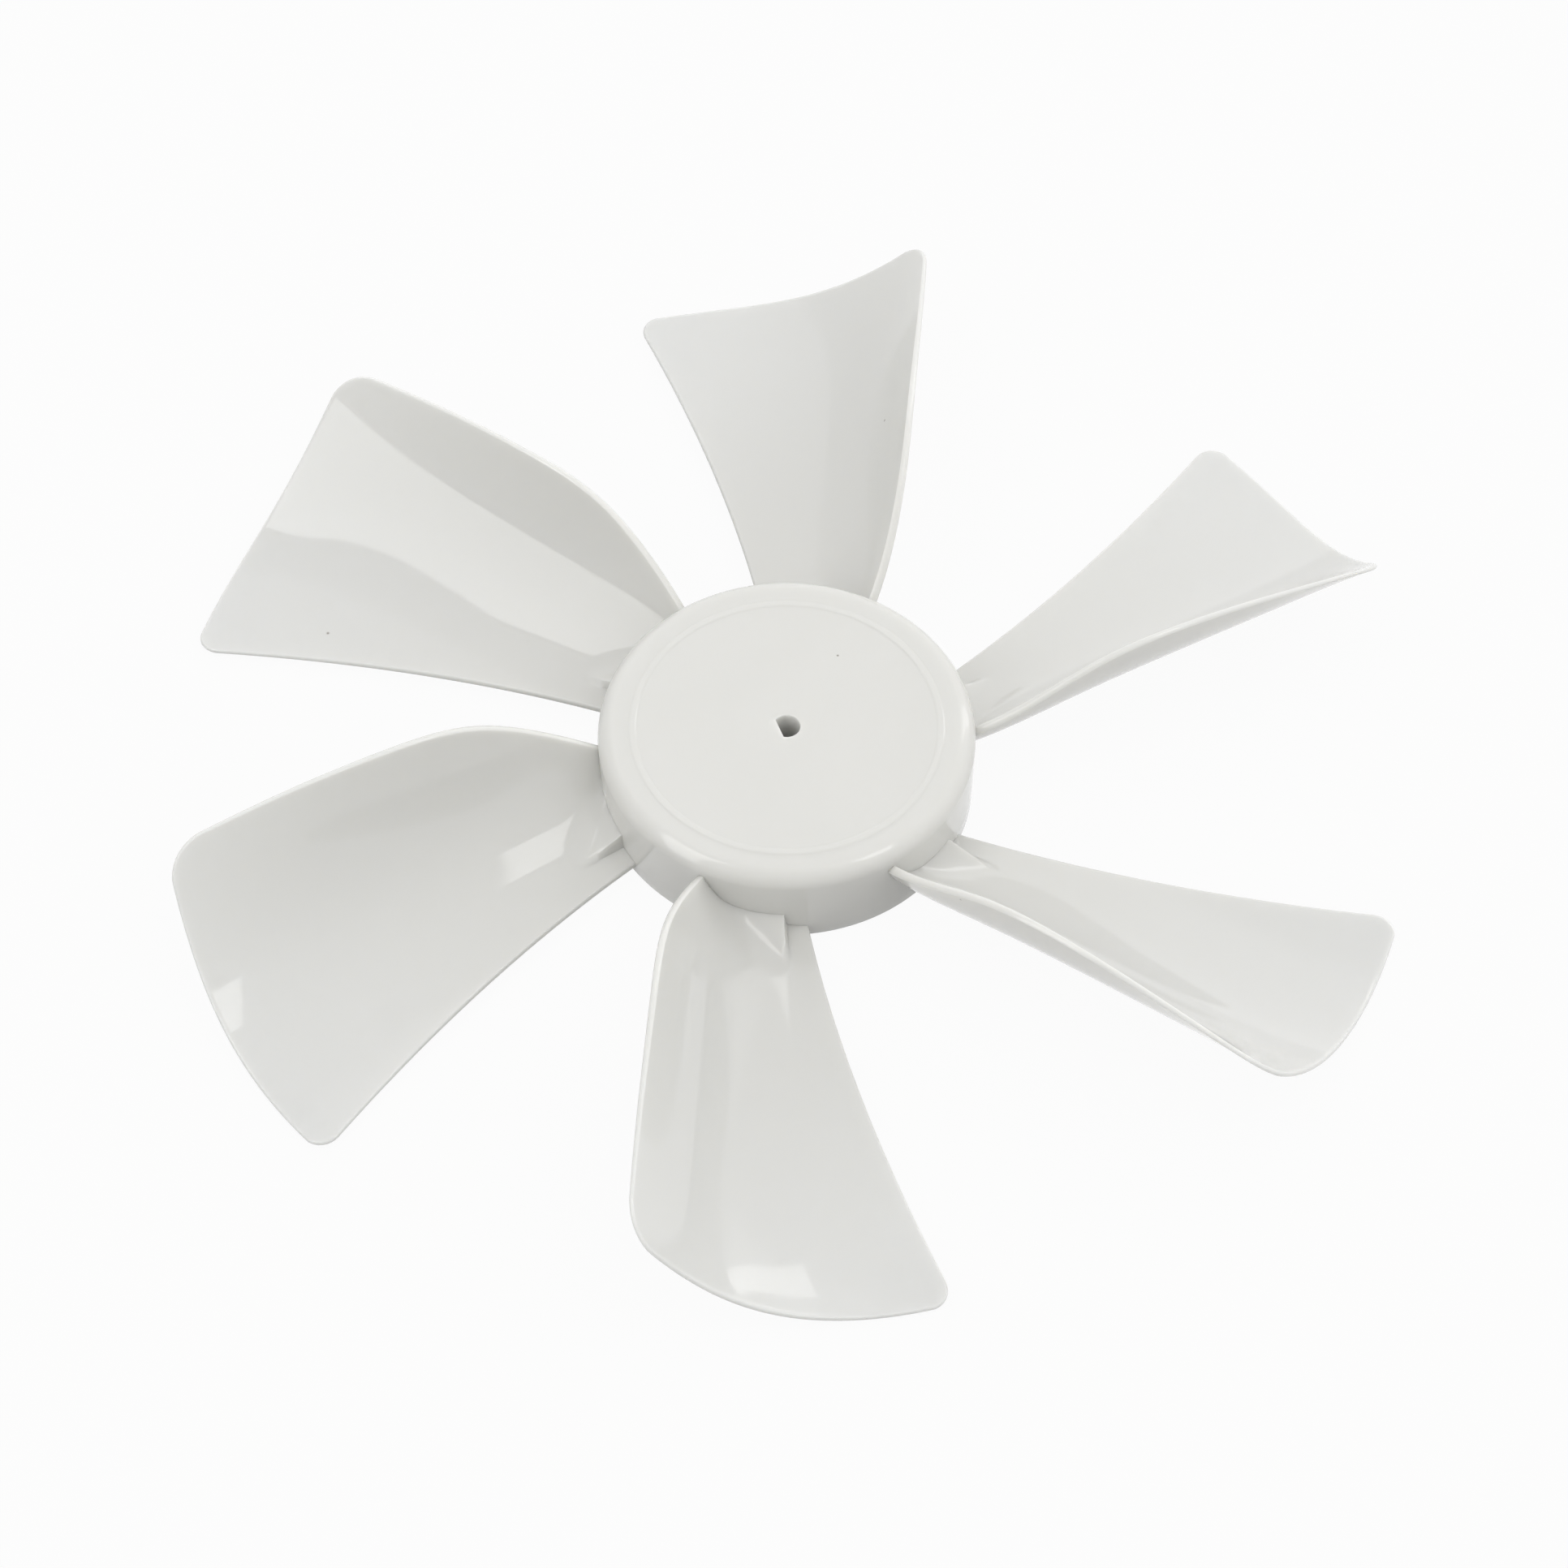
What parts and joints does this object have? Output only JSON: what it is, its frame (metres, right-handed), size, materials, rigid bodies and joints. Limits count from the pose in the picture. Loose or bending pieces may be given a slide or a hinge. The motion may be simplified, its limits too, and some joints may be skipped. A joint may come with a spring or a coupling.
{
  "type": "vent fan blade",
  "caption": "Moulded axial fan blade for a vent: curled paddles with one raised edge around a closed, cup-shaped hub that slides onto a motor's D-shaped shaft.",
  "frame": {"origin": "on the fan's axis, in the plane of the hub's open rim, where the shaft enters the bore", "axes": "+Z along the fan's axis, from the hub's open rim to its closed face; +Y along one blade's centre line; the blade's low edge lies towards -X there and its raised edge towards +X"},
  "size_m": [0.1462, 0.1524, 0.0198],
  "materials": {
    "white_plastic": "glossy off-white moulding, slightly warm"
  },
  "bodies": {
    "root": {"fan_blade": "white_plastic"}
  },
  "joints": []
}
